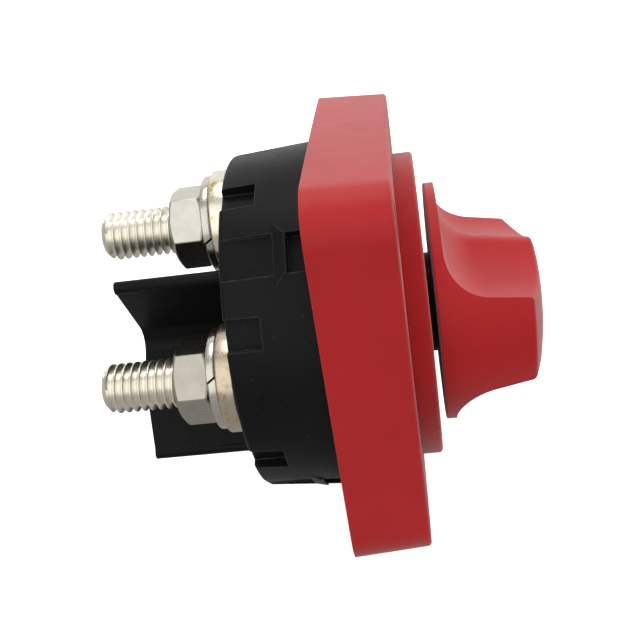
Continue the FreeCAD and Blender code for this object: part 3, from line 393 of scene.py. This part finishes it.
def around(centre, reach, angle, depth):
    """A point at a distance and angle round a terminal, at a depth along the row's Y."""
    return Vector((centre.x + reach * math.cos(angle), depth, centre.z + reach * math.sin(angle)))


def circle(centre, reach, depth, steps):
    """A ring of points round a terminal."""
    return [around(centre, reach, FULL_TURN * place / steps, depth) for place in range(steps)]


def middle(name):
    """The middle of a CAD node's box."""
    low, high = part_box(name)
    return (low + high) / 2


def round_section(inner, outer, bottom, top, corner, cuts=4):
    """Points of a rectangle with rounded corners, as (distance, depth)."""
    quarter = 0.5 * math.pi
    corners = (
        (inner + corner, bottom + corner, 2 * quarter),
        (outer - corner, bottom + corner, 3 * quarter),
        (outer - corner, top - corner, 0.0),
        (inner + corner, top - corner, quarter),
    )
    points = []
    for across, along, start in corners:
        for cut in range(cuts + 1):
            angle = start + quarter * cut / cuts
            points.append((across + corner * math.cos(angle), along + corner * math.sin(angle)))
    return points


# ------------------------------------------------------------------------- studs

STUD_RADIUS = 3 * INCH / 16
THREAD_PITCH = INCH / 16
THREAD_DEPTH = 0.6134 * THREAD_PITCH
THREAD_STEPS = 96
# One pitch of the thread, from a crest down to the root and up again: (part of a pitch, part of
# the thread's depth).
THREAD_FORM = ((-0.06, 0.0), (0.06, 0.0), (0.10, 0.04), (0.36, 0.94),
               (0.42, 1.0), (0.58, 1.0), (0.64, 0.94), (0.90, 0.04))
STUD_HEAD = 3.0 * MM
STUD_TIP_RADIUS = 0.76 * STUD_RADIUS
STUD_DOME = 0.45 * MM
DOME_RINGS = (0.75, 0.4, 0.05)


def thread_ring(centre, start, end, turn, part, depth):
    """One line of the thread's form, wound once round; it stays between the head and the dome."""
    ring = []
    for place in range(THREAD_STEPS):
        angle = FULL_TURN * place / THREAD_STEPS
        along = start + (turn + part + place / THREAD_STEPS) * THREAD_PITCH
        along = min(max(along, start), end)
        chamfer = STUD_TIP_RADIUS + (end - along)
        reach = min(STUD_RADIUS - depth * THREAD_DEPTH, chamfer)
        ring.append(around(centre, reach, angle, along))
    return ring


def make_stud(side, material):
    """Stud with a real helical thread that runs out on a domed, chamfered tip."""
    node = "terminal_stud_" + side
    low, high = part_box(node)
    centre = middle(node)
    start = low.y + STUD_HEAD
    end = high.y - STUD_DOME
    turns = int((high.y - start) / THREAD_PITCH) + 2
    rings = []
    for turn in range(-1, turns):
        for part, depth in THREAD_FORM:
            rings.append(thread_ring(centre, start, end, turn, part, depth))
    for part in DOME_RINGS:
        rise = STUD_DOME * (1 - part ** 2)
        rings.append(circle(centre, STUD_TIP_RADIUS * part, end + rise, THREAD_STEPS))
    points, faces = join_rings(rings)
    return new_piece("stud_thread_" + side, points, faces, material, node, 50)


# -------------------------------------------------------------------------- nuts

NUT_FLATS = 9 * INCH / 16
NUT_TURNS = {"upper": -0.6, "lower": -4.9}
NUT_STEPS = 240
NUT_CORNER_RADIUS = 0.45 * MM
NUT_BORE = STUD_RADIUS - 0.25 * THREAD_DEPTH
NUT_MOUTH = STUD_RADIUS + 0.35 * MM
NUT_MOUTH_DEPTH = 0.9 * MM
NUT_MOUTH_EDGE = 0.12 * MM
NUT_FACE_RADIUS = 0.475 * NUT_FLATS
NUT_CHAMFER = math.tan(math.radians(28))
NUT_SOFTENING = 0.18 * MM


def rounded_hexagon(flats, angle, corner):
    """Distance from the middle to the side of a hexagon with rounded corners."""
    wedge = math.pi / 3
    turn = (angle % wedge) - wedge / 2
    side = (flats / 2) / math.cos(turn)
    inner = flats / 2 - corner
    hub = inner / math.cos(wedge / 2)
    lean = wedge / 2 - abs(turn)
    across = hub * math.sin(lean)
    if across >= corner:
        return side
    arc = hub * math.cos(lean) + math.sqrt(corner ** 2 - across ** 2)
    return min(side, arc)


def nut_profile(angle):
    """Half of the nut's section, from its bore out to its side: (distance, height below the face)."""
    side = rounded_hexagon(NUT_FLATS, angle, NUT_CORNER_RADIUS)
    drop = max(0.0, (side - NUT_FACE_RADIUS) * NUT_CHAMFER)
    return [
        (NUT_BORE, NUT_MOUTH_DEPTH),
        (NUT_MOUTH, NUT_MOUTH_EDGE),
        (NUT_MOUTH + 0.1 * MM, 0.0),
        (NUT_FACE_RADIUS - 0.25 * MM, 0.0),
        (NUT_FACE_RADIUS, 0.03 * MM),
        (side - NUT_SOFTENING, max(drop - NUT_SOFTENING * NUT_CHAMFER, 0.05 * MM)),
        (side, drop + 1.2 * NUT_SOFTENING),
    ]


def make_nut(side, material):
    """Hexagon nut: chamfered corners, countersunk thread mouth, softened edges."""
    node = "terminal_nut_" + side
    low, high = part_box(node)
    centre = middle("terminal_stud_" + side)
    start = math.radians(-NUT_TURNS[side])
    rings = []
    for place in range(NUT_STEPS):
        angle = FULL_TURN * place / NUT_STEPS
        half = nut_profile(angle + start)
        section = [(reach, high.y - below) for reach, below in half]
        section += [(reach, low.y + below) for reach, below in reversed(half)]
        rings.append([around(centre, reach, angle, depth) for reach, depth in section])
    rings.append(rings[0])
    points, faces = join_rings(rings, close_ends=False)
    return new_piece("nut_" + side, points, faces, material, node, 28)


# ----------------------------------------------------------------------- washers

WASHER_FIT = 0.35 * MM
WASHER_STEPS = 128
FLAT_WASHER_CORNER = 0.35 * MM
CONTACT_WASHER_CORNER = 0.25 * MM
SPRING_OUTER = 9.5 * MM
SPRING_FIT = 0.4 * MM
SPRING_LIFT = 0.22 * MM
SPRING_CORNER = 0.35 * MM
SPRING_GAP = math.radians(2.2)
SPRING_LEAN = 1.3 * MM
SPRING_STEPS = 120
SLIT_ANGLES = {"upper": 175.0, "lower": 148.0}


def make_washer(kind, side, material, corner):
    """Stamped plain washer with rolled edges."""
    node = "%s_washer_%s" % (kind, side)
    low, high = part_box(node)
    centre = middle("terminal_stud_" + side)
    outer = (high.x - low.x) / 2
    section = round_section(STUD_RADIUS + WASHER_FIT, outer, low.y, high.y, corner)
    rings = []
    for place in range(WASHER_STEPS):
        angle = FULL_TURN * place / WASHER_STEPS
        rings.append([around(centre, reach, angle, depth) for reach, depth in section])
    rings.append(rings[0])
    points, faces = join_rings(rings, close_ends=False)
    return new_piece("%s_washer_ring_%s" % (kind, side), points, faces, material, node)


def make_spring_washer(side, material):
    """Split washer: one turn of square wire, its two slanted ends a little out of line."""
    node = "spring_washer_" + side
    low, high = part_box(node)
    centre = middle("terminal_stud_" + side)
    section = round_section(STUD_RADIUS + SPRING_FIT, SPRING_OUTER, low.y, high.y - SPRING_LIFT,
                            SPRING_CORNER)
    slit = math.radians(SLIT_ANGLES[side])
    rings = []
    for place in range(SPRING_STEPS + 1):
        part = place / SPRING_STEPS
        ring = []
        for reach, depth in section:
            slant = SPRING_LEAN * (depth - low.y) / (high.y - low.y) / SPRING_OUTER
            angle = slit + SPRING_GAP / 2 + slant + part * (FULL_TURN - SPRING_GAP)
            ring.append(around(centre, reach, angle, depth + SPRING_LIFT * part))
        rings.append(ring)
    points, faces = join_rings(rings)
    return new_piece("split_washer_" + side, points, faces, material, node)


def make_terminals(materials):
    """The finer studs, nuts and washers that stand for the plain CAD ones."""
    for side in SIDES:
        make_stud(side, materials["stud_metal"])
        make_nut(side, materials[NUT_SHADING[side]])
        make_spring_washer(side, materials["spring_steel"])
        make_washer("flat", side, materials[WASHER_SHADING[side]], FLAT_WASHER_CORNER)
        make_washer("contact", side, materials["tinned_washer"],
                    CONTACT_WASHER_CORNER)


# ------------------------------------------------------------------------ studio

FLOOR_HALF_SIZE = 6.0
FLOOR_GAP = 0.2 * MM
FLOOR_STOPS = ((0.3, (0.88, 0.88, 0.88)), (0.7, (0.9, 0.9, 0.9)))
FLOOR_GLOW = 0.9
WHITE = (1.0, 1.0, 1.0, 1.0)
WARM_WHITE = (1.0, 0.99, 0.975, 1.0)

# Brightness of the surroundings, and the heights of a direction between which it changes.
SKY_ABOVE = 0.45
SKY_BELOW = 0.38
SKY_LOW = -0.45
SKY_HIGH = 0.1

# Soft lights: name, place in m, width and height in m, brightness.
PANELS = (
    ("left_panel", (-1.0, 0.1, 0.62), 2.4, 1.5, 0.80),
    ("far_panel", (0.9, 0.05, 0.50), 1.8, 1.0, 0.5),
    ("overhead", (0.15, 0.0, 1.0), 0.5, 0.5, 3.4),
    ("front_panel", (0.45, -0.9, 0.30), 1.0, 0.7, 1.5),
)

CAMERA_LENS = 49.28
CAMERA_SENSOR = 36.0
CAMERA_NEAREST = 0.01
CAMERA_PLACE = (-0.15038, -0.01553, 0.07510)
CAMERA_RIGHT = (0.05159, -0.98815, -0.14453)
CAMERA_UP = (0.46167, -0.10474, 0.88085)
CAMERA_BACK = (-0.88555, -0.11217, 0.45080)


def make_floor():
    """Plain pale floor, just under the surround's lower edge."""
    size = FLOOR_HALF_SIZE
    level = cad_box[0].z - FLOOR_GAP
    mesh = bpy.data.meshes.new("floor")
    corners = [(-size, -size, level), (size, -size, level), (size, size, level), (-size, size, level)]
    mesh.from_pydata(corners, [], [(0, 1, 2, 3)])
    floor = bpy.data.objects.new("floor", mesh)
    bpy.context.collection.objects.link(floor)
    nodes = Nodes("pale_floor")
    tint = nodes.blend(nodes.noise(0.3), FLOOR_STOPS)
    rough = nodes.spread(nodes.noise(0.05), 0.85, 0.95)
    mesh.materials.append(nodes.finish(tint, rough, Specular_IOR_Level=0.1,
                                       Emission_Strength=FLOOR_GLOW, Emission_Color=WHITE))
    floor.visible_diffuse = False
    floor.visible_glossy = False


def make_world():
    """Even light all round, a little weaker from below."""
    world = bpy.data.worlds.new("studio")
    bpy.context.scene.world = world
    world.use_nodes = True
    tree = world.node_tree
    background = tree.nodes["Background"]
    background.inputs["Color"].default_value = WARM_WHITE
    way = tree.nodes.new("ShaderNodeTexCoord")
    parts = tree.nodes.new("ShaderNodeSeparateXYZ")
    tree.links.new(way.outputs["Generated"], parts.inputs["Vector"])
    fade = tree.nodes.new("ShaderNodeMapRange")
    tree.links.new(parts.outputs["Z"], fade.inputs["Value"])
    limits = {"From Min": SKY_LOW, "From Max": SKY_HIGH, "To Min": SKY_BELOW, "To Max": SKY_ABOVE}
    for name, value in limits.items():
        fade.inputs[name].default_value = value
    tree.links.new(fade.outputs["Result"], background.inputs["Strength"])


def make_panel(name, spot, width, height, glow):
    """Soft light of a given brightness that faces the switch."""
    light = bpy.data.lights.new(name, "AREA")
    light.shape = "RECTANGLE"
    light.size = width
    light.size_y = height
    light.energy = glow * width * height * math.pi
    lamp = bpy.data.objects.new(name, light)
    bpy.context.collection.objects.link(lamp)
    lamp.location = spot
    lamp.rotation_mode = "QUATERNION"
    lamp.rotation_quaternion = (-Vector(spot)).to_track_quat("-Z", "Y")


def make_camera():
    """Camera a hand's length from the switch, to its left and above, rolled by a few degrees."""
    camera = bpy.data.cameras.new("camera")
    camera.sensor_width = CAMERA_SENSOR
    camera.lens = CAMERA_LENS
    camera.clip_start = CAMERA_NEAREST
    eye = bpy.data.objects.new("camera", camera)
    bpy.context.collection.objects.link(eye)
    axes = Matrix((CAMERA_RIGHT, CAMERA_UP, CAMERA_BACK)).transposed().to_4x4()
    eye.matrix_world = Matrix.Translation(CAMERA_PLACE) @ axes
    bpy.context.scene.camera = eye


materials = make_materials()
dress_frame(materials)
make_terminals(materials)
make_floor()
for name, spot, width, height, glow in PANELS:
    make_panel(name, spot, width, height, glow)
make_world()
bpy.context.scene.view_settings.view_transform = "Standard"
make_camera()
